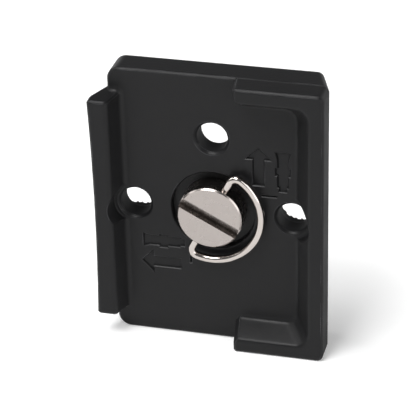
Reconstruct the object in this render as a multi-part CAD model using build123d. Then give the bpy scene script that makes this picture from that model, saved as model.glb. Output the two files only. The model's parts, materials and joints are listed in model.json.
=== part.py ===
from build123d import *
from math import cos, radians, sin, sqrt, tan
import os

os.makedirs("parts", exist_ok=True)

# A camera's quick release plate, standing on one short end.
# X runs across the plate and Z along it. The camera's underside is the plane Y = 0,
# the screw's axis is the Y axis, and depth is measured from the camera: depth = -Y.

# Plate
plate_length = 52.5
plate_left = 18.5
web = 4.0
left_corner_radius = 2.3
right_corner_radius = 1.2
edge_bevel = 0.35
least_corner = 0.3

# Pad, and the pocket that it is glued into
lip_width = 1.0
lip_bevel = 0.3
pocket_depth = 1.6
pad_proud = 0.4
pad_clearance = 0.15
pad_mouth_bevel = 0.8
pad_hole_margin = 0.35
pad_top_hole_margin = 1.2
rib_pitch = 1.9
groove_width = 0.7
groove_depth = 0.35

# Dovetail: the rim and the wing stand this far off the plate's face
flange_height = 4.45
root_radius = 1.0

# C-shaped rim on the right, with a return along each end of the plate
rim_reach = 20.7
rim_front_width = 2.6
rim_inner_run = 2.9
rim_straight = 4.65
rim_undercut_angle = 20.0
rim_corner_radius = 2.4
rim_mouth_radius = 0.7
upper_return_span = 15.7
lower_return_span = 16.35
return_front_width = 2.65
return_inner_run = 2.2
return_end_run = 0.6
return_bevel = 0.8

# Bowed wing on the left
wing_overhang = 2.55
wing_bow = 0.45
wing_length = 43.0
wing_front_width = 3.65
wing_inner_run = 1.2
wing_straight = 2.0
wing_undercut_angle = 26.0
wing_shoulder_radius = 1.0
wing_mouth_radius = 1.0
wing_end_draft = 4.0

# Through holes: one above the screw and one on each side of it
hole_radius = 2.8
hole_distance = 14.25
spot_radius = 3.3
hole_bevel = 0.2

# Seat of the screw
recess_radius = 7.6
recess_depth = 1.5
clip_bore_depth = 0.8

# Camera screw, with a 1/4 inch thread
thread_radius = 3.175
thread_projection = 4.5
thread_chamfer = 0.7
shoulder_radius = 3.3
head_radius = 5.85
head_proud = 3.0
head_chamfer = 0.25
slot_width = 2.0
slot_depth = 1.5
slot_angle = -27.5

# Retaining clip, in a groove of the screw
clip_radius = 4.8
clip_thickness = 0.6
clip_sink = 0.3
clip_mouth = 3.9
clip_relief_radius = 1.0
clip_relief_angle = 62.0
groove_radius = 2.5

# Ring of bent wire
wire_radius = 0.7
ring_radius = 9.05
ring_bend_radius = 1.3
ring_grip = 2.2
ring_drop = 1.5

# Clearances
running_clearance = 0.06
seat_gap = 0.05
clip_room = 0.7

# Edges are picked by their place, to within this distance
touch = 0.001

# Levels, as depths below the camera
lip_level = pad_proud
floor_level = lip_level + pocket_depth
face_level = floor_level + web
front_level = face_level + flange_height
undercut_level = front_level - rim_straight
wing_slope = tan(radians(wing_undercut_angle))
wing_straight_level = front_level - wing_straight
wing_root_level = wing_straight_level - wing_overhang / wing_slope
recess_level = face_level - recess_depth
clip_bore_level = floor_level + clip_bore_depth
head_base_level = recess_level + seat_gap
head_face_level = face_level + head_proud
ring_level = head_face_level - ring_drop
clip_back_level = clip_sink + clip_thickness

# Places across the plate
half_length = plate_length / 2
lip_right = rim_reach - (undercut_level - lip_level) * tan(radians(rim_undercut_angle))
rim_inner_front = rim_reach - rim_front_width
rim_inner_root = rim_inner_front - rim_inner_run
return_end = rim_reach - upper_return_span
mouth_height = half_length - return_front_width
root_height = mouth_height - return_inner_run
wing_reach = plate_left + wing_overhang
wing_inner_front = wing_front_width - wing_reach
wing_inner_root = wing_inner_front + wing_inner_run
clip_bore_radius = clip_radius + clip_room
side_holes = [(-hole_distance, 0), (hole_distance, 0)]
top_hole = (0, hole_distance)


def at_depth(depth):
    return Plane.XZ.offset(depth)


def bar(outline, level, end_level):
    """A flat outline, drawn as it is seen from below, made solid between two depths."""
    return extrude(at_depth(level) * outline, end_level - level)


def along_plate(points, half_span):
    """A section of x and depth, drawn out along the plate's length."""
    section = make_face(Polyline([(x, -depth) for x, depth in points], close=True))
    return extrude(section, half_span, both=True)


def rounded_sheet(left, right, half_height, left_radius, right_radius):
    sheet = Pos((left + right) / 2, 0) * Rectangle(right - left, 2 * half_height)
    sheet = fillet(sheet.vertices().group_by(Axis.X)[0], left_radius)
    return fillet(sheet.vertices().group_by(Axis.X)[-1], right_radius)


def plate_outline(right):
    return rounded_sheet(-plate_left, right, half_length, left_corner_radius, right_corner_radius)


def pocket_outline(inset):
    left = inset - plate_left
    right = lip_right - inset
    sheet = Pos((left + right) / 2, 0) * Rectangle(right - left, plate_length - 2 * inset)
    sheet = fillet(sheet.vertices().group_by(Axis.X)[0], max(left_corner_radius - inset, least_corner))
    return chamfer(sheet.vertices().group_by(Axis.X)[-1], max(right_corner_radius - inset, least_corner))


def front_edges(block):
    return block.faces().sort_by(Axis.Y)[0].edges()


def slab():
    narrow_end = at_depth(lip_level) * plate_outline(lip_right)
    wide_end = at_depth(undercut_level) * plate_outline(rim_reach)
    block = loft([narrow_end, wide_end]) + bar(plate_outline(rim_reach), undercut_level, face_level)
    block = chamfer(front_edges(block), edge_bevel)
    return chamfer(block.faces().sort_by(Axis.Y)[-1].edges(), lip_bevel)


def around_mouth(edge):
    middle = edge.center()
    return middle.X < rim_inner_front + rim_mouth_radius and abs(middle.Z) < mouth_height + rim_mouth_radius


def rim_half(return_span, length):
    """The rim's block from the middle of the plate to one of its ends."""
    end = rim_reach - return_span
    slope = return_end_run / flange_height
    section = Polyline(
        (end - slope * rim_straight, -undercut_level),
        (end, -front_level),
        (rim_reach, -front_level),
        (rim_reach, -undercut_level),
        close=True,
    )
    return extrude(make_face(section), length)


def return_corners(block):
    """The upright edges at the free ends of the two returns."""
    ends = block.faces().filter_by(lambda face: face.center().X < return_end)
    edges = ends.filter_by(lambda face: abs(face.normal_at().Z) < touch).edges()
    return edges.filter_by(lambda edge: undercut_level + touch < -edge.center().Y < front_level - touch)


def rim():
    block = rim_half(upper_return_span, half_length) + rim_half(lower_return_span, -half_length)
    block &= bar(plate_outline(rim_reach), undercut_level, front_level)
    corners = return_corners(block)
    block = chamfer(corners.filter_by(lambda edge: abs(edge.center().Z) > half_length - touch), edge_bevel)
    mouth = rounded_sheet(-wing_reach, rim_inner_front, mouth_height, rim_corner_radius, rim_corner_radius)
    root = rounded_sheet(-wing_reach, rim_inner_root, root_height, rim_corner_radius, rim_corner_radius)
    block -= loft([at_depth(face_level) * root, at_depth(front_level) * mouth])
    inner_corners = return_corners(block).filter_by(lambda edge: abs(edge.center().Z) < mouth_height)
    block = chamfer(inner_corners.filter_by(lambda edge: -edge.center().Y > face_level + touch), return_bevel)
    inner_edges = front_edges(block).filter_by(lambda edge: abs(edge.center().Z) < mouth_height + touch)
    block = fillet(inner_edges.filter_by(around_mouth), rim_mouth_radius)
    return chamfer(front_edges(block).filter_by(lambda edge: not around_mouth(edge)), edge_bevel)


def clear_of_slab(edge):
    middle = edge.center()
    return middle.X < wing_inner_root - touch and -middle.Y > wing_root_level + touch


def wing():
    outside = wing_reach + wing_bow
    span = along_plate(
        [
            (wing_inner_root, wing_root_level),
            (wing_inner_root, face_level),
            (wing_inner_front, front_level),
            (-outside, front_level),
            (-outside, wing_straight_level + wing_bow / wing_slope),
            (-plate_left, wing_root_level),
        ],
        half_length,
    )
    front_half = wing_length / 2
    root_half = front_half + (front_level - wing_root_level) * tan(radians(wing_end_draft))
    upper_corner = (-wing_reach, root_half)
    lower_corner = (-wing_reach, -root_half)
    bowed_side = ThreePointArc(upper_corner, (wing_bow - wing_reach, 0), lower_corner)
    inner_side = Polyline(lower_corner, (0, -root_half), (0, root_half), upper_corner)
    plan = make_face(bowed_side + inner_side)
    ends = make_face(
        Polyline(
            (-front_level, front_half),
            (-wing_root_level, root_half),
            (-wing_root_level, -root_half),
            (-front_level, -front_half),
            close=True,
        )
    )
    block = span & bar(plan, wing_root_level, front_level) & extrude(Plane.YZ * ends, outside, both=True)
    outer_edges = block.edges().filter_by(lambda edge: edge.length > front_half).sort_by(Axis.X)[:2]
    block = fillet(outer_edges.sort_by(Axis.Y)[-1], wing_shoulder_radius)
    block = fillet(front_edges(block).sort_by(Axis.X)[-1], wing_mouth_radius)
    block = chamfer(front_edges(block).sort_by(Axis.X)[0], edge_bevel)
    stacked = block.faces().sort_by(Axis.Z)
    end_edges = stacked[0].edges() + stacked[-1].edges()
    return chamfer(end_edges.filter_by(clear_of_slab), edge_bevel)


def on_face(edge):
    return all(abs(point.Y + face_level) < touch for point in edge.vertices() + [edge.center()])


def feet(body):
    """The edges where the rim and the wing rise from the plate's face."""
    edges = body.edges().filter_by(on_face)
    rim_feet = edges.filter_by(lambda edge: edge.center().X > return_end)
    beside_wing = edges.filter_by(lambda edge: abs(edge.center().Z) < half_length - left_corner_radius)
    wing_feet = beside_wing.filter_by(
        lambda edge: 2 * edge_bevel - plate_left < edge.center().X < wing_inner_root + touch
    )
    return rim_feet + wing_feet


def face_circles(body, radius):
    circles = body.edges().filter_by(GeomType.CIRCLE).filter_by(on_face)
    return circles.filter_by(lambda edge: abs(edge.radius - radius) < touch)


def plate_body():
    body = slab() + rim() + wing()
    body = fillet(feet(body), root_radius)
    body -= bar(pocket_outline(lip_width), 0, floor_level)
    body -= bar(Circle(recess_radius), recess_level, face_level)
    body -= bar(Circle(clip_bore_radius), floor_level, clip_bore_level)
    body -= bar(Circle(shoulder_radius + running_clearance), clip_bore_level, recess_level)
    for place in side_holes:
        body -= bar(Pos(*place) * Circle(spot_radius), face_level, front_level)
    for place in side_holes + [top_hole]:
        body -= bar(Pos(*place) * Circle(hole_radius), floor_level, face_level)
    body = chamfer(face_circles(body, hole_radius), hole_bevel)
    return chamfer(face_circles(body, recess_radius), hole_bevel)


def rib_grooves(room):
    """The grooves between the pad's ribs, with a rib over the screw's axis and room to each side of it."""
    groove = bar(Rectangle(groove_width, plate_length), 0, groove_depth)
    places = [(step + 0.5) * rib_pitch for step in range(int(room / rib_pitch))]
    return [Pos(side * x, 0, 0) * groove for x in places for side in (-1, 1)]


def grip_pad():
    inset = lip_width + pad_clearance
    notch_radius = hole_radius + pad_hole_margin
    sheet = pocket_outline(inset)
    for x, z in side_holes:
        sheet -= Pos(x, z) * Circle(notch_radius)
        sheet -= Pos(2 * x, z) * Rectangle(2 * abs(x), 2 * notch_radius)
    mouths = sheet.vertices().filter_by(lambda corner: abs(abs(corner.Y) - notch_radius) < touch)
    sheet = chamfer(mouths.filter_by(lambda corner: abs(corner.X) > hole_distance + touch), pad_mouth_bevel)
    sheet -= Pos(*top_hole) * Circle(hole_radius + pad_top_hole_margin)
    sheet -= Circle(clip_bore_radius)
    return bar(sheet, 0, floor_level) - rib_grooves(min(plate_left, lip_right) - inset)


def ring_plane():
    angle = radians(slot_angle + 90)
    return Plane((0, -ring_level, 0), x_dir=(cos(angle), 0, sin(angle)), z_dir=(0, 1, 0))


def camera_screw():
    groove_front = clip_sink - seat_gap
    groove_back = clip_back_level + seat_gap
    profile = Polyline(
        (0, thread_projection),
        (thread_radius - thread_chamfer, thread_projection),
        (thread_radius, thread_projection - thread_chamfer),
        (thread_radius, -groove_front),
        (groove_radius, -groove_front),
        (groove_radius, -groove_back),
        (shoulder_radius, -groove_back),
        (shoulder_radius, -head_base_level),
        (head_radius, -head_base_level),
        (head_radius, head_chamfer - head_face_level),
        (head_radius - head_chamfer, -head_face_level),
        (0, -head_face_level),
        close=True,
    )
    screw = revolve(make_face(profile), Axis.Y)
    slot = Rot(0, 0, slot_angle) * Rectangle(2 * (head_radius + slot_width), slot_width)
    screw -= bar(slot, head_face_level - slot_depth, head_face_level)
    hole_start = head_radius - ring_grip - running_clearance
    bore = Pos(0, 0, hole_start + head_radius / 2) * Cylinder(wire_radius + running_clearance, head_radius)
    for turn in (90, -90):
        screw -= ring_plane() * Rot(0, turn, 0) * bore
    return screw


def retaining_clip():
    bore_radius = groove_radius + running_clearance
    sheet = Circle(clip_radius) - Circle(bore_radius)
    sheet -= Pos(0, -clip_radius) * Rectangle(clip_mouth, 2 * clip_radius)
    for angle in (90 - clip_relief_angle, 90 + clip_relief_angle):
        sheet -= Rot(0, 0, angle) * Pos(bore_radius, 0) * Circle(clip_relief_radius)
    return bar(sheet, clip_sink, clip_back_level)


def d_ring():
    end = head_radius - ring_grip
    bend_x = sqrt((ring_radius - ring_bend_radius) ** 2 - ring_bend_radius ** 2)
    bend = Vector(bend_x, ring_bend_radius)
    bend_end = bend.normalized() * ring_radius
    bend_middle = bend + (Vector(bend_x, 0) - bend + bend_end - bend).normalized() * ring_bend_radius
    leg = Line((end, 0), (bend_x, 0)) + ThreePointArc((bend_x, 0), bend_middle, bend_end)
    hoop = ThreePointArc(bend_end, (0, ring_radius), (-bend_end.X, bend_end.Y))
    path = leg + hoop + mirror(leg, Plane.YZ)
    section = Plane((end, 0, 0), x_dir=(0, 1, 0), z_dir=(1, 0, 0)) * Circle(wire_radius)
    return ring_plane() * sweep(section, path)


def export(solid, name):
    print(name, solid.is_valid, round(solid.volume, 2), len(solid.solids()))
    export_step(solid, "parts/" + name + ".step")


export(plate_body(), "plate_body")
export(grip_pad(), "grip_pad")
export(camera_screw(), "camera_screw")
export(retaining_clip(), "retaining_clip")
export(d_ring(), "d_ring")
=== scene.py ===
import json
from math import cos, pi, radians, sin, tan

import bmesh
import bpy
from mathutils import Matrix, Vector

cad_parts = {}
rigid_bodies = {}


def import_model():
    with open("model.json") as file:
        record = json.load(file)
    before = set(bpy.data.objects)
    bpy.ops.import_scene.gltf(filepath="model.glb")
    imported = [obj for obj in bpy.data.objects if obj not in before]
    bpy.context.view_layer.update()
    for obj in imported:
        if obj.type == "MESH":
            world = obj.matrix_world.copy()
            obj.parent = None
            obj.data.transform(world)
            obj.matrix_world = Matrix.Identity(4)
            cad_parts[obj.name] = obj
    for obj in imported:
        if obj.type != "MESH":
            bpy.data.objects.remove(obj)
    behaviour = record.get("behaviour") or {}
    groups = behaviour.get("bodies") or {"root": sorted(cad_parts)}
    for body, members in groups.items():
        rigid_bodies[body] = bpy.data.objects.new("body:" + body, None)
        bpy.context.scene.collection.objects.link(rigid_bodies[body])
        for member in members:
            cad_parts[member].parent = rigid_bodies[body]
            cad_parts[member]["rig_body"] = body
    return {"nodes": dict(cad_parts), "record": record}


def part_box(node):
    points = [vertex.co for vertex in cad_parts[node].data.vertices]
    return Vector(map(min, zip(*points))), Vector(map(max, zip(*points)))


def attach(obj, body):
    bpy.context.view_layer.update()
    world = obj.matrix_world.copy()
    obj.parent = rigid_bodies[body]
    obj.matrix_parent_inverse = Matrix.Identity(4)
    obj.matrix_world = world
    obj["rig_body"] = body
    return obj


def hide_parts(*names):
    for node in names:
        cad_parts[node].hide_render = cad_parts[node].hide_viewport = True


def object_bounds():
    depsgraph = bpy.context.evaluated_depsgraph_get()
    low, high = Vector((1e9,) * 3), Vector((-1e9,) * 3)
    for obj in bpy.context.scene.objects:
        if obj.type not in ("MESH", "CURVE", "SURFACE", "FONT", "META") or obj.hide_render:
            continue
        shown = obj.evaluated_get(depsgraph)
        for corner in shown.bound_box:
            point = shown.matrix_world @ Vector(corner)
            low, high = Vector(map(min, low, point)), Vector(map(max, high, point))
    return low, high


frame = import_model()
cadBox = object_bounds()
scene = bpy.context.scene
print("frame loaded:", ", ".join(sorted(frame["nodes"])))

mm = 0.001                # the meshes are worked on in millimetres, and placed in metres
noiseRange = (0.3, 0.7)   # where most values of a noise texture lie
edgeRays = 8              # rays that feel for edges and corners near a point


# Materials

def linear(hexColour):        # sRGB hex to the linear colour that shaders take
    channels = [int(hexColour[i:i + 2], 16) / 255 for i in (1, 3, 5)]
    return [c / 12.92 if c <= 0.04045 else ((c + 0.055) / 1.055) ** 2.4 for c in channels] + [1]


def perMillimetre(size):      # texture scale whose features are about this many millimetres
    return 1 / (size * mm)


def addNode(tree, kind, settings=None, links=None):
    node = tree.nodes.new(kind)
    for name, value in (settings or {}).items():
        if isinstance(name, int) or name in node.inputs:
            node.inputs[name].default_value = value
        else:
            setattr(node, name, value)
    for name, source in (links or {}).items():
        tree.links.new(source, node.inputs[name])
    return node


def newMaterial(name):
    material = bpy.data.materials.new(name)
    material.use_nodes = True
    tree = material.node_tree
    tree.nodes.clear()
    return material, tree


def finishMaterial(tree, shader):
    addNode(tree, "ShaderNodeOutputMaterial", links={"Surface": shader})


# Powder coat baked on die-cast aluminium: satin black, with a soft orange peel
coat = {
    "colour": "#141415",
    "thinColour": "#1b1b1c",
    "ior": 1.5,
    "specular": 0.19,
    "roughness": (0.33, 0.43),
    "dulled": 0.32,           # added roughness in the drilled holes and where the clamp rubs
    "patchSize": 7.0,         # slow changes of gloss, mm
    "peelSize": 0.55,         # real peel is nearer 0.2 mm, drawn coarser so that it shows
    "peelHeight": 0.036,
    "peelStrength": 0.5,
    "edgeFlow": 0.7,          # radius to which the melted powder rounds an edge, mm
    "markFlow": 0.02,         # and round the marks, which the mould leaves crisp
    "wornAndHighlightColour": "#6f6f72",  # thin coat with the metal showing through, rubbed at the outer edges, and lightened further there as a painted highlight
    "wearAndHighlightWidth": 0.2,
    "wearAndHighlightSize": 5.0,          # length of the rubbed and painted-highlight spots, mm
    "wearAndHighlightSpots": (0.42, 0.72),     # noise where a spot begins, and where its wear and painted highlight are strongest
    "wearAndHighlightTurn": (0.985, 0.92),     # the same for the cosine between the face and its rounded edge
    "wearAndHighlightReach": 1.0,         # how far round a point the openness is felt, mm
    "wearAndHighlightOpenness": (0.9, 1.0),    # tells an outer edge, which is open, from an inner corner
}


def powderCoatedCasting():
    material, tree = newMaterial("powderCoatedCasting")
    place = addNode(tree, "ShaderNodeTexCoord").outputs["Object"]
    patches = addNode(tree, "ShaderNodeTexNoise", {"Scale": perMillimetre(coat["patchSize"]), "Detail": 3.0},
                      {"Vector": place}).outputs["Fac"]
    peel = addNode(tree, "ShaderNodeTexNoise", {"Scale": perMillimetre(coat["peelSize"]), "Detail": 2.0},
                   {"Vector": place}).outputs["Fac"]
    spots = addNode(tree, "ShaderNodeTexNoise", {"Scale": perMillimetre(coat["wearAndHighlightSize"]), "Detail": 4.0},
                    {"Vector": place}).outputs["Fac"]
    unwornUnlit = addNode(tree, "ShaderNodeMix", {
        "data_type": "RGBA",
        6: linear(coat["colour"]),
        7: linear(coat["thinColour"]),
    }, {0: patches}).outputs[2]

    # Rubbed edges with a painted highlight: lighter where the face turns away from its rounded self, out in
    # the open, in spots
    facing = addNode(tree, "ShaderNodeNewGeometry").outputs["Normal"]
    rounded = addNode(tree, "ShaderNodeBevel", {"samples": edgeRays, "Radius": coat["wearAndHighlightWidth"] * mm})
    turn = addNode(tree, "ShaderNodeVectorMath", {"operation": "DOT_PRODUCT"},
                   {0: facing, 1: rounded.outputs["Normal"]})
    edge = addNode(tree, "ShaderNodeMapRange", {
        "From Min": coat["wearAndHighlightTurn"][0],
        "From Max": coat["wearAndHighlightTurn"][1],
    }, {"Value": turn.outputs["Value"]})
    corners = addNode(tree, "ShaderNodeAmbientOcclusion", {
        "samples": edgeRays,
        "only_local": True,
        "Distance": coat["wearAndHighlightReach"] * mm,
    })
    proud = addNode(tree, "ShaderNodeMapRange", {
        "From Min": coat["wearAndHighlightOpenness"][0],
        "From Max": coat["wearAndHighlightOpenness"][1],
    }, {"Value": corners.outputs["AO"], "To Max": edge.outputs["Result"]})
    rubbedAndHighlit = addNode(tree, "ShaderNodeMapRange", {
        "From Min": coat["wearAndHighlightSpots"][0],
        "From Max": coat["wearAndHighlightSpots"][1],
    }, {"Value": spots})
    wearAndHighlight = addNode(tree, "ShaderNodeMath", {"operation": "MULTIPLY"},
                   {0: proud.outputs["Result"], 1: rubbedAndHighlit.outputs["Result"]})
    # Painted highlight: the outer edges are lightened in colour, partly as wear, partly standing in for the
    # gloss along them
    colour = addNode(tree, "ShaderNodeMix", {"data_type": "RGBA", 7: linear(coat["wornAndHighlightColour"])},
                     {0: wearAndHighlight.outputs["Value"], 6: unwornUnlit})

    gloss = addNode(tree, "ShaderNodeMapRange", {
        "From Min": noiseRange[0],
        "From Max": noiseRange[1],
        "To Min": coat["roughness"][0],
        "To Max": coat["roughness"][1],
    }, {"Value": patches})
    dull = addNode(tree, "ShaderNodeAttribute", {"attribute_name": "dulled"})
    roughness = addNode(tree, "ShaderNodeMath", {"operation": "ADD"},
                        {0: gloss.outputs["Result"], 1: dull.outputs["Fac"]})
    radius = addNode(tree, "ShaderNodeAttribute", {"attribute_name": "edgeFlow"})
    flow = addNode(tree, "ShaderNodeBevel", {"samples": edgeRays}, {"Radius": radius.outputs["Fac"]})
    bump = addNode(tree, "ShaderNodeBump", {
        "Strength": coat["peelStrength"],
        "Distance": coat["peelHeight"] * mm,
    }, {"Height": peel, "Normal": flow.outputs["Normal"]})
    shader = addNode(tree, "ShaderNodeBsdfPrincipled", {
        "IOR": coat["ior"],
        "Specular IOR Level": coat["specular"],
    }, {
        "Base Color": colour.outputs[2],
        "Roughness": roughness.outputs["Value"],
        "Normal": bump.outputs["Normal"],
    })
    finishMaterial(tree, shader.outputs["BSDF"])
    return material


# Nitrile rubber, moulded in ribs: a dull black skin with a fine grain, and dust that it holds in patches
rubber = {
    "colour": "#1b1b1b",
    "dustColour": "#2e2d2b",
    "ior": 1.52,
    "specular": 0.35,
    "roughness": 0.78,
    "grainSize": 0.3,
    "grainHeight": 0.02,
    "grainStrength": 0.6,
    "dustSize": 4.0,
    "dustSpots": (0.45, 0.8),      # noise where dust begins, and where it lies thickest
}


def mouldedRubber():
    material, tree = newMaterial("mouldedRubber")
    place = addNode(tree, "ShaderNodeTexCoord").outputs["Object"]
    grain = addNode(tree, "ShaderNodeTexNoise", {"Scale": perMillimetre(rubber["grainSize"]), "Detail": 2.0},
                    {"Vector": place}).outputs["Fac"]
    dust = addNode(tree, "ShaderNodeTexNoise", {"Scale": perMillimetre(rubber["dustSize"]), "Detail": 5.0},
                   {"Vector": place}).outputs["Fac"]
    dusty = addNode(tree, "ShaderNodeMapRange", {
        "From Min": rubber["dustSpots"][0],
        "From Max": rubber["dustSpots"][1],
    }, {"Value": dust})
    colour = addNode(tree, "ShaderNodeMix", {
        "data_type": "RGBA",
        6: linear(rubber["colour"]),
        7: linear(rubber["dustColour"]),
    }, {0: dusty.outputs["Result"]})
    bump = addNode(tree, "ShaderNodeBump", {
        "Strength": rubber["grainStrength"],
        "Distance": rubber["grainHeight"] * mm,
    }, {"Height": grain})
    shader = addNode(tree, "ShaderNodeBsdfPrincipled", {
        "IOR": rubber["ior"],
        "Specular IOR Level": rubber["specular"],
        "Roughness": rubber["roughness"],
    }, {
        "Base Color": colour.outputs[2],
        "Normal": bump.outputs["Normal"],
    })
    finishMaterial(tree, shader.outputs["BSDF"])
    return material


# Free-cutting steel, turned and nickel plated: a warm grey mirror, dulled by fine rings from the lathe
nickel = {
    "colour": "#a69f9b",
    "paintedShadeColour": "#5a524c",
    "paintedShadeReach": 1.2,        # how far the painted shade spreads from an inner corner, mm
    "paintedShadeOpenness": (0.35, 0.85),     # below the first all is painted shade, above the second there is none
    "roughness": (0.20, 0.32),
    "ringSize": 0.16,         # lathe feed, drawn about twice as coarse so that it shows
    "ringHeight": 0.004,
    "ringStrength": 0.5,
    "smearSize": 2.5,
}


def turnedNickel():
    material, tree = newMaterial("turnedNickel")
    place = addNode(tree, "ShaderNodeTexCoord").outputs["Object"]
    parts = addNode(tree, "ShaderNodeSeparateXYZ", links={"Vector": place})
    across = addNode(tree, "ShaderNodeCombineXYZ", links={"X": parts.outputs["X"], "Z": parts.outputs["Z"]})
    radius = addNode(tree, "ShaderNodeVectorMath", {"operation": "LENGTH"},
                     {"Vector": across.outputs["Vector"]})
    lathePlace = addNode(tree, "ShaderNodeCombineXYZ",
                         links={"X": radius.outputs["Value"], "Y": parts.outputs["Y"]})
    rings = addNode(tree, "ShaderNodeTexNoise", {"Scale": perMillimetre(nickel["ringSize"]), "Detail": 2.0},
                    {"Vector": lathePlace.outputs["Vector"]}).outputs["Fac"]
    smears = addNode(tree, "ShaderNodeTexNoise", {"Scale": perMillimetre(nickel["smearSize"]), "Detail": 4.0},
                     {"Vector": place}).outputs["Fac"]
    smeared = addNode(tree, "ShaderNodeMapRange", {
        "From Min": noiseRange[0],
        "From Max": noiseRange[1],
        "To Min": nickel["roughness"][0],
        "To Max": nickel["roughness"][1],
    }, {"Value": smears})
    bump = addNode(tree, "ShaderNodeBump", {
        "Strength": nickel["ringStrength"],
        "Distance": nickel["ringHeight"] * mm,
    }, {"Height": rings})
    # Painted shade: the colour darkens in the slot and inner corners, where shade falls
    corners = addNode(tree, "ShaderNodeAmbientOcclusion", {
        "samples": edgeRays,
        "only_local": True,
        "Distance": nickel["paintedShadeReach"] * mm,
    })
    unshaded = addNode(tree, "ShaderNodeMapRange", {
        "From Min": nickel["paintedShadeOpenness"][0],
        "From Max": nickel["paintedShadeOpenness"][1],
    }, {"Value": corners.outputs["AO"]})
    colour = addNode(tree, "ShaderNodeMix", {
        "data_type": "RGBA",
        6: linear(nickel["paintedShadeColour"]),
        7: linear(nickel["colour"]),
    }, {0: unshaded.outputs["Result"]})
    shader = addNode(tree, "ShaderNodeBsdfPrincipled", {"Metallic": 1.0}, {
        "Base Color": colour.outputs[2],
        "Roughness": smeared.outputs["Result"],
        "Normal": bump.outputs["Normal"],
    })
    finishMaterial(tree, shader.outputs["BSDF"])
    return material


# Drawn spring wire, nickel plated: smoother and brighter than the turned screw
wire = {
    "colour": "#bbb4af",
    "roughness": (0.07, 0.16),
    "streakSize": 0.9,
}


def platedWire():
    material, tree = newMaterial("platedWire")
    place = addNode(tree, "ShaderNodeTexCoord").outputs["Object"]
    streaks = addNode(tree, "ShaderNodeTexNoise", {"Scale": perMillimetre(wire["streakSize"]), "Detail": 4.0},
                      {"Vector": place}).outputs["Fac"]
    streaked = addNode(tree, "ShaderNodeMapRange", {
        "From Min": noiseRange[0],
        "From Max": noiseRange[1],
        "To Min": wire["roughness"][0],
        "To Max": wire["roughness"][1],
    }, {"Value": streaks})
    shader = addNode(tree, "ShaderNodeBsdfPrincipled", {
        "Base Color": linear(wire["colour"]),
        "Metallic": 1.0,
    }, {"Roughness": streaked.outputs["Result"]})
    finishMaterial(tree, shader.outputs["BSDF"])
    return material


# Spring steel strip, stamped and oiled: brown-grey, with soft stains
strip = {
    "colour": "#6f6a64",
    "stainColour": "#4f4a45",
    "roughness": 0.36,
    "stainSize": 1.6,
}


def oiledSpringSteel():
    material, tree = newMaterial("oiledSpringSteel")
    place = addNode(tree, "ShaderNodeTexCoord").outputs["Object"]
    stains = addNode(tree, "ShaderNodeTexNoise", {"Scale": perMillimetre(strip["stainSize"]), "Detail": 4.0},
                     {"Vector": place}).outputs["Fac"]
    colour = addNode(tree, "ShaderNodeMix", {
        "data_type": "RGBA",
        6: linear(strip["colour"]),
        7: linear(strip["stainColour"]),
    }, {0: stains})
    shader = addNode(tree, "ShaderNodeBsdfPrincipled", {
        "Metallic": 1.0,
        "Roughness": strip["roughness"],
    }, {"Base Color": colour.outputs[2]})
    finishMaterial(tree, shader.outputs["BSDF"])
    return material


materials = {
    "plate_body": powderCoatedCasting(),
    "grip_pad": mouldedRubber(),
    "camera_screw": turnedNickel(),
    "d_ring": platedWire(),
    "retaining_clip": oiledSpringSteel(),
}
for nodeName, node in frame["nodes"].items():
    node.data.materials.clear()
    node.data.materials.append(materials[nodeName])
print("materials made:", len(materials))


# Meshes

joinDistance = 0.0005         # corners this near are one, mm


def solidOf(nodeName):        # a CAD solid's mesh in millimetres, with its split corners joined
    mesh = bmesh.new()
    mesh.from_mesh(frame["nodes"][nodeName].data)
    bmesh.ops.scale(mesh, vec=Vector((1, 1, 1)) / mm, verts=mesh.verts)
    bmesh.ops.remove_doubles(mesh, verts=mesh.verts, dist=joinDistance)
    return mesh


def newObject(name, mesh):
    data = bpy.data.meshes.new(name)
    mesh.to_mesh(data)
    mesh.free()
    piece = bpy.data.objects.new(name, data)
    scene.collection.objects.link(piece)
    return piece


def cutPiece(name, nodeName, cutter, sharpAngle):    # the CAD solid less the cutter, standing for the solid
    bmesh.ops.recalc_face_normals(cutter, faces=cutter.faces)
    piece = newObject(name, solidOf(nodeName))
    tool = newObject(name + "Cutter", cutter)
    cut = piece.modifiers.new("cut", "BOOLEAN")
    cut.operation = "DIFFERENCE"
    cut.solver = "EXACT"
    cut.object = tool
    bpy.context.view_layer.update()
    data = bpy.data.meshes.new_from_object(piece.evaluated_get(bpy.context.evaluated_depsgraph_get()))
    piece.modifiers.clear()
    bpy.data.objects.remove(tool)
    cutMesh = bmesh.new()
    cutMesh.from_mesh(data)
    bmesh.ops.dissolve_degenerate(cutMesh, dist=joinDistance, edges=cutMesh.edges)
    cutMesh.to_mesh(data)
    cutMesh.free()
    data.transform(Matrix.Scale(mm, 4))
    data.attributes.remove(data.attributes["custom_normal"])     # the solid's own, which no longer fit
    data.shade_smooth()
    data.set_sharp_from_angle(angle=radians(sharpAngle))
    data.materials.clear()
    data.materials.append(materials[nodeName])
    data.name = name
    piece.data = data
    even = piece.modifiers.new("even normals", "WEIGHTED_NORMAL")
    even.keep_sharp = True
    body = frame["nodes"][nodeName]["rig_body"]
    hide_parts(nodeName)
    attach(piece, body)
    print(name, "cut:", len(data.polygons), "faces")
    return piece


# Plate: the arrows that show which way the lens goes, sunk into its face
marks = {
    "depth": 0.45,
    "wallRun": 0.08,          # how far a sunk mark's walls slope in
    "lip": 0.16,              # bevelled edge round each mark
    "standOff": 1.0,          # how far in front of the face a mark's cutter starts
    "lap": 0.02,              # and how far in front of it the bevel does
    "arrowLength": 7.6,
    "headLength": 2.5,
    "headHalf": 2.6,
    "shaftHalf": 1.15,
    "barGap": 1.5,            # short bar behind the arrow's tail
    "barWidth": 0.55,
    "barHalf": 1.5,
    "barShift": 1.85,
    "upTip": (8.3, 13.3),     # across and along the plate, from the screw
    "leftTip": (-13.7, -11.75),
    "lensShift": 4.35,        # from an arrow's line to the lens beside it
}

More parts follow.
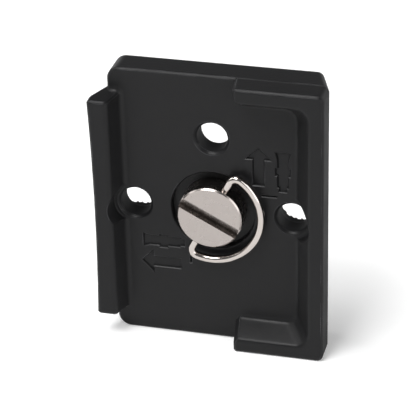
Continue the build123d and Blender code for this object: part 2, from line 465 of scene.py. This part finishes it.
# A plain lens from the side, by its half widths along the arrow's line: mount, barrel, grip and hood
lensProfile = [(-8.4, 0.80), (-7.6, 0.80), (-7.6, 1.10), (-5.3, 1.10), (-5.3, 1.45), (-3.5, 1.45),
               (-3.5, 1.10), (-1.9, 1.10), (-0.5, 1.50)]


def arrowOutlines():          # tip at (0, 0), pointing along the first axis
    tail = -marks["arrowLength"]
    neck = -marks["headLength"]
    arrow = [(0, 0), (neck, marks["headHalf"]), (neck, marks["shaftHalf"]), (tail, marks["shaftHalf"]),
             (tail, -marks["shaftHalf"]), (neck, -marks["shaftHalf"]), (neck, -marks["headHalf"])]
    barEnd = tail - marks["barGap"]
    barStart = barEnd - marks["barWidth"]
    barLow = marks["barShift"] - marks["barHalf"]
    barHigh = marks["barShift"] + marks["barHalf"]
    bar = [(barStart, barLow), (barEnd, barLow), (barEnd, barHigh), (barStart, barHigh)]
    return [arrow, bar]


def lensOutline():
    shift = marks["lensShift"]
    far = [(along, shift + half) for along, half in lensProfile]
    near = [(along, shift - half) for along, half in reversed(lensProfile)]
    return far + near


def sinkMark(mesh, outline, faceY):
    corners = [mesh.verts.new((x, faceY - marks["standOff"], z)) for x, z in outline]
    lid = mesh.faces.new(corners)
    floor = bmesh.ops.extrude_face_region(mesh, geom=[lid])["geom"]
    grown = [part for part in floor if isinstance(part, bmesh.types.BMVert)]
    bmesh.ops.translate(mesh, vec=(0, marks["standOff"] - marks["lap"], 0), verts=grown)
    top = [part for part in floor if isinstance(part, bmesh.types.BMFace)]
    bmesh.ops.recalc_face_normals(mesh, faces=mesh.faces)
    for run, drop in ((marks["lip"], marks["lip"]), (marks["wallRun"], marks["depth"] - marks["lip"])):
        bmesh.ops.inset_individual(mesh, faces=top, thickness=run, depth=drop, use_even_offset=True)


def insideBox(outline, x, z):
    across, along = zip(*outline)
    return min(across) < x < max(across) and min(along) < z < max(along)


# Drilled holes, as the record states them: mouths broken wider than the solid's, and wider spot faces
bores = [mount for mount in frame["record"]["mounts"] if mount["kind"] == "bore"]
mouth = {
    "width": 0.5,             # of the broken edge, at 45 degrees
    "spare": 0.05,            # how far its cutter goes on into the hole
    "lap": 0.02,              # how far in front of the face it starts
    "spotRadius": 3.95,       # scooped out of the rim and the wing beside the side holes
    "spotHeight": 6.0,
    "steps": 96,
    "offset": 0.37,           # turns the cutter's corners away from the solid's, in steps
}


def openHole(mesh, bore, faceY):
    radius = bore["dims"]["r_mm"]
    middle = Vector(bore["pos_m"]) / mm
    front = faceY - mouth["lap"]
    profile = [(radius + mouth["width"] + mouth["lap"], front),
               (radius - mouth["spare"], faceY + mouth["width"] + mouth["spare"])]
    if abs(middle.x) > radius:
        profile = [(mouth["spotRadius"], front - mouth["spotHeight"]), (mouth["spotRadius"], front)] + profile
    turns = [2 * pi * (step + mouth["offset"]) / mouth["steps"] for step in range(mouth["steps"])]
    rings = []
    for reach, y in profile:
        places = [(middle.x + reach * cos(turn), y, middle.z + reach * sin(turn)) for turn in turns]
        rings.append([mesh.verts.new(place) for place in places])
    for upper, lower in zip(rings, rings[1:]):
        for i in range(mouth["steps"]):
            mesh.faces.new((upper[i - 1], upper[i], lower[i], lower[i - 1]))
    mesh.faces.new(rings[0])
    mesh.faces.new(rings[-1])


def inBore(polygon):
    for bore in bores:
        away = polygon.center - Vector(bore["pos_m"])
        away.y = 0
        if away.length < (bore["dims"]["r_mm"] + mouth["spare"]) * mm:
            return True
    return False


# What the coat does on each face of the casting
casting = {
    "sharpAngle": 28,
    "probe": (0, -1, 0.018),  # in metres, out in front of the plain face above the screw
    "plainNormal": 0.999,     # a face that looks this straight out is the plain one
    "plainReach": 0.01,       # if it is this near to it, mm
    "markReach": 1.0,         # deeper than any mark
}


def castPlate():
    hit = frame["nodes"]["plate_body"].ray_cast(Vector(casting["probe"]), Vector((0, 1, 0)))
    faceY = hit[1].y / mm
    upX, upZ = marks["upTip"]
    leftX, leftZ = marks["leftTip"]
    outlines = []
    for outline in arrowOutlines() + [lensOutline()]:
        outlines.append([(upX + shift, upZ + along) for along, shift in outline])
        outlines.append([(leftX - along, leftZ + shift) for along, shift in outline])
    cutter = bmesh.new()
    for outline in outlines:
        sinkMark(cutter, outline, faceY)
    for bore in bores:
        openHole(cutter, bore, faceY)
    plate = cutPiece("castPlate", "plate_body", cutter, casting["sharpAngle"])
    flow = plate.data.attributes.new("edgeFlow", "FLOAT", "FACE")
    dulled = plate.data.attributes.new("dulled", "FLOAT", "FACE")
    for polygon in plate.data.polygons:
        x, y, z = polygon.center / mm
        plain = polygon.normal.y < -casting["plainNormal"] and abs(y - faceY) < casting["plainReach"]
        marked = y < faceY + casting["markReach"] and any(insideBox(outline, x, z) for outline in outlines)
        flow.data[polygon.index].value = coat["markFlow" if plain or marked else "edgeFlow"] * mm
        clamped = max(0, 2 * abs(polygon.normal.x) - 1)     # grows as a face turns to the plate's sides
        dulled.data[polygon.index].value = coat["dulled"] * (1 if inBore(polygon) else clamped)


# Pad: a fine groove along each of the solid's ribs, so that it has twice as many, with round backs
ribs = {
    "pitch": 0.95,            # half of the solid's
    "depth": 0.3,
    "backPower": 1.5,         # above 1, a rib's back is wider than the groove beside it
    "steps": 12,              # points in each rib
    "skin": 0.005,            # taken off the ribs' backs, so that no cut grazes the solid
    "spare": 1.0,             # how far the cutter reaches past the pad
    "sharpAngle": 40,
}


def ribbedPad():
    low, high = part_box("grip_pad")
    backY = high.y / mm
    reach = int(max(-low.x, high.x) / mm / ribs["pitch"]) + 1.5      # with a groove over the screw's axis
    left = -reach * ribs["pitch"]
    count = int(2 * reach)
    half = (high.z - low.z) / mm / 2 + ribs["spare"]
    cutter = bmesh.new()
    section = []
    for step in range(count * ribs["steps"] + 1):
        turn = 2 * pi * step / ribs["steps"]
        drop = ribs["skin"] + ribs["depth"] * (0.5 - 0.5 * cos(turn)) ** ribs["backPower"]
        section.append((left + ribs["pitch"] * step / ribs["steps"], backY - drop))
    section.append((section[-1][0], backY + ribs["spare"]))
    section.append((left, backY + ribs["spare"]))
    lid = cutter.faces.new([cutter.verts.new((x, y, -half)) for x, y in section])
    grown = bmesh.ops.extrude_face_region(cutter, geom=[lid])["geom"]
    bmesh.ops.translate(cutter, vec=(0, 0, 2 * half),
                        verts=[part for part in grown if isinstance(part, bmesh.types.BMVert)])
    cutPiece("ribbedPad", "grip_pad", cutter, ribs["sharpAngle"])


# Screw: the 1/4 inch camera thread, 20 turns to the inch
thread = {
    "pitch": 25.4 / 20,
    "radius": 3.175,
    "depth": 0.72,
    "flankAngle": 30,
    "rootWidth": 0.16,
    "runOut": 0.35,           # turns over which the groove fades at its end
    "start": 0.45,            # height of its end above the camera's underside
    "outside": 0.15,          # how far the cutter stands out of the groove
    "least": 0.001,           # height of its section where the groove has faded
    "steps": 48,              # points in each turn
    "offset": 0.37,           # turns the cutter's corners away from the solid's, in steps
    "sharpAngle": 30,
}


def threadedScrew():
    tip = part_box("camera_screw")[1].y / mm
    turns = (tip + thread["pitch"] - thread["start"]) / thread["pitch"]
    crest = thread["radius"] + thread["outside"]
    rootHalf = thread["rootWidth"] / 2
    cutter = bmesh.new()
    loops = []
    for step in range(int(turns * thread["steps"]) + 1):
        turn = step / thread["steps"]
        angle = 2 * pi * (step + thread["offset"]) / thread["steps"]
        fade = min(1, turn / thread["runOut"])
        cutDepth = (thread["depth"] + thread["outside"]) * fade
        root = crest - cutDepth - thread["least"]
        crestHalf = rootHalf + cutDepth * tan(radians(thread["flankAngle"]))
        height = thread["start"] + thread["pitch"] * turn
        section = [(root, -rootHalf), (root, rootHalf), (crest, crestHalf), (crest, -crestHalf)]
        places = [(r * cos(angle), height + rise, -r * sin(angle)) for r, rise in section]
        loops.append([cutter.verts.new(place) for place in places])
    for lower, upper in zip(loops, loops[1:]):
        for i in range(len(lower)):
            cutter.faces.new((lower[i], lower[i - 1], upper[i - 1], upper[i]))
    cutter.faces.new(loops[0])
    cutter.faces.new(reversed(loops[-1]))
    cutPiece("threadedScrew", "camera_screw", cutter, thread["sharpAngle"])


castPlate()
ribbedPad()
threadedScrew()


# Stage

stage = {
    "floorSize": 6.0,
    "floorColour": "#f4f4f4",
    "floorLift": (0.24, 0.95),     # added near and far where it is seen, so that the open floor is white
    "farFloor": (0.3, 1.4),   # where the lamps' light on the floor begins and ends to fade, in metres
    "ambient": 0.42,
    "ceiling": 0.15,          # how bright the ceiling is beside the white wall
    "wallTop": (0.03, 0.28),  # sine of the height where the wall begins and ends to turn into the ceiling
}


def seenRays(tree):           # 1 for rays from the camera, a reflection or a glass
    path = addNode(tree, "ShaderNodeLightPath")
    shown = path.outputs["Is Camera Ray"]
    for name in ("Is Glossy Ray", "Is Transmission Ray"):
        shown = addNode(tree, "ShaderNodeMath", {"operation": "MAXIMUM"},
                        {0: shown, 1: path.outputs[name]}).outputs["Value"]
    return shown


def makeFloor():              # a sweep of matt white paper
    half = stage["floorSize"] / 2
    mesh = bmesh.new()
    corners = [(-half, -half), (half, -half), (half, half), (-half, half)]
    mesh.faces.new([mesh.verts.new((x, y, cadBox[0].z)) for x, y in corners])
    floor = newObject("floor", mesh)
    material, tree = newMaterial("paperSweep")
    paper = addNode(tree, "ShaderNodeBsdfDiffuse", {"Color": linear(stage["floorColour"])})
    place = addNode(tree, "ShaderNodeTexCoord").outputs["Object"]
    distance = addNode(tree, "ShaderNodeVectorMath", {"operation": "LENGTH"}, {"Vector": place})
    amount = addNode(tree, "ShaderNodeMapRange", {
        "From Min": stage["farFloor"][0],
        "From Max": stage["farFloor"][1],
        "To Min": stage["floorLift"][0],
        "To Max": stage["floorLift"][1],
    }, {"Value": distance.outputs["Value"]})
    lift = addNode(tree, "ShaderNodeMath", {"operation": "MULTIPLY"},
                   {0: amount.outputs["Result"], 1: seenRays(tree)})
    glow = addNode(tree, "ShaderNodeEmission", {"Color": (1, 1, 1, 1)}, {"Strength": lift.outputs["Value"]})
    both = addNode(tree, "ShaderNodeAddShader", links={0: paper.outputs["BSDF"], 1: glow.outputs["Emission"]})
    finishMaterial(tree, both.outputs["Shader"])
    floor.data.materials.append(material)


def makeWorld():              # white for the camera, a white wall under a dim ceiling for the rest
    world = bpy.data.worlds.new("whiteStudio")
    world.use_nodes = True
    scene.world = world
    tree = world.node_tree
    tree.nodes.clear()
    direction = addNode(tree, "ShaderNodeTexCoord").outputs["Generated"]
    height = addNode(tree, "ShaderNodeSeparateXYZ", links={"Vector": direction}).outputs["Z"]
    wall = addNode(tree, "ShaderNodeMapRange", {
        "From Min": stage["wallTop"][0],
        "From Max": stage["wallTop"][1],
        "To Min": 1.0,
        "To Max": stage["ceiling"],
    }, {"Value": height})
    shown = addNode(tree, "ShaderNodeMapRange", {"To Min": stage["ambient"], "To Max": 1.0},
                    {"Value": seenRays(tree)})
    room = addNode(tree, "ShaderNodeMath", {"operation": "MULTIPLY"},
                   {0: wall.outputs["Result"], 1: shown.outputs["Result"]})
    path = addNode(tree, "ShaderNodeLightPath")
    strength = addNode(tree, "ShaderNodeMapRange", {"To Max": 1.0},
                       {"Value": path.outputs["Is Camera Ray"], "To Min": room.outputs["Value"]})
    background = addNode(tree, "ShaderNodeBackground", {"Color": (1, 1, 1, 1)},
                         {"Strength": strength.outputs["Result"]})
    addNode(tree, "ShaderNodeOutputWorld", links={"Surface": background.outputs["Background"]})


# Soft boxes: place and size in metres, and how bright each one's face is
softBoxes = {
    "frontTop": {"place": (-0.18, -0.39, 0.675), "size": (0.34, 0.24), "radiance": 14.0},
    "overhead": {"place": (-0.14, -0.17, 0.75), "size": (0.36, 0.28), "radiance": 6.5},
    "leftWindow": {"place": (-0.64, -0.03, 0.52), "size": (0.5, 0.5), "radiance": 3.4},
    "rightFill": {"place": (0.62, -0.42, 0.22), "size": (0.5, 0.5), "radiance": 2.6},
    "backFill": {"place": (0.70, 0.55, 0.30), "size": (0.5, 0.4), "radiance": 3.0},
}


def makeLights():             # each soft box looks at the screw
    for name, box in softBoxes.items():
        data = bpy.data.lights.new(name, "AREA")
        data.shape = "RECTANGLE"
        data.size, data.size_y = box["size"]
        data.energy = box["radiance"] * pi * data.size * data.size_y
        lamp = bpy.data.objects.new(name, data)
        lamp.location = box["place"]
        lamp.rotation_mode = "QUATERNION"
        lamp.rotation_quaternion = (-Vector(box["place"])).to_track_quat("-Z", "Y")
        scene.collection.objects.link(lamp)


# Camera: the photograph's view, a long lens from above and a little to the right
view = {
    "target": (-0.00207, -0.00174, -0.00206),
    "azimuth": 15.09,
    "elevation": 29.10,
    "roll": 1.47,
    "distance": 0.3657,
    "lens": 176.8,            # mm
    "sensor": 36.0,           # mm
    "clip": (0.01, 20.0),
}


def makeCamera():
    azimuth, elevation = radians(view["azimuth"]), radians(view["elevation"])
    back = Vector((sin(azimuth) * cos(elevation), -cos(azimuth) * cos(elevation), sin(elevation)))
    data = bpy.data.cameras.new("camera")
    data.lens = view["lens"]
    data.sensor_width = view["sensor"]
    data.clip_start, data.clip_end = view["clip"]
    camera = bpy.data.objects.new("camera", data)
    camera.location = Vector(view["target"]) + back * view["distance"]
    turn = (-back).to_track_quat("-Z", "Y").to_matrix() @ Matrix.Rotation(-radians(view["roll"]), 3, "Z")
    camera.rotation_mode = "QUATERNION"
    camera.rotation_quaternion = turn.to_quaternion()
    scene.collection.objects.link(camera)
    scene.camera = camera


makeFloor()
makeWorld()
makeLights()
makeCamera()
scene.view_settings.view_transform = "Standard"
print("stage set:", len(softBoxes), "soft boxes")
